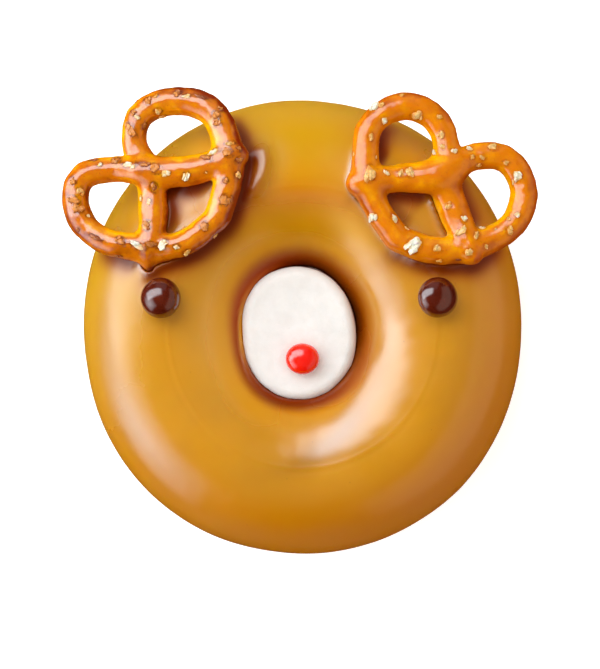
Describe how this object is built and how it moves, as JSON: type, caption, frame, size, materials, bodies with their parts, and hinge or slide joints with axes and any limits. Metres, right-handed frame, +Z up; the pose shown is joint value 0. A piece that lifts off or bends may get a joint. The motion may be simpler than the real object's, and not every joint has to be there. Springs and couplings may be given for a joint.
{
  "type": "iced ring doughnut with toppings",
  "caption": "Ring doughnut with caramel icing, made up as an animal's face: pretzels as antlers, chocolate balls as eyes, a marshmallow in the hole and a red button as nose.",
  "frame": {"origin": "on the level that the doughnut stands on, under the middle of the whole object's bounding box", "axes": "+Z up, out of the iced side; +Y towards the side with the pretzels; +X to the right as seen from above"},
  "size_m": [0.0978, 0.0968, 0.0383],
  "materials": {
    "dough": "fried dough, dry to slightly greasy, golden brown with a paler band",
    "caramel_icing": "set caramel icing, smooth and glossy",
    "baked_pretzel": "glazed baked crust, glossy, with coarse salt",
    "chocolate": "milk chocolate with a sugar shine",
    "marshmallow": "soft, powdery and matt",
    "red_sugar": "hard sugar shell, glossy"
  },
  "bodies": {
    "root": {"dough_ring": "dough", "icing": "caramel_icing", "pretzel_left": "baked_pretzel", "pretzel_right": "baked_pretzel", "chocolate_ball_left": "chocolate", "chocolate_ball_right": "chocolate", "marshmallow": "marshmallow", "sugar_button": "red_sugar"}
  },
  "joints": []
}
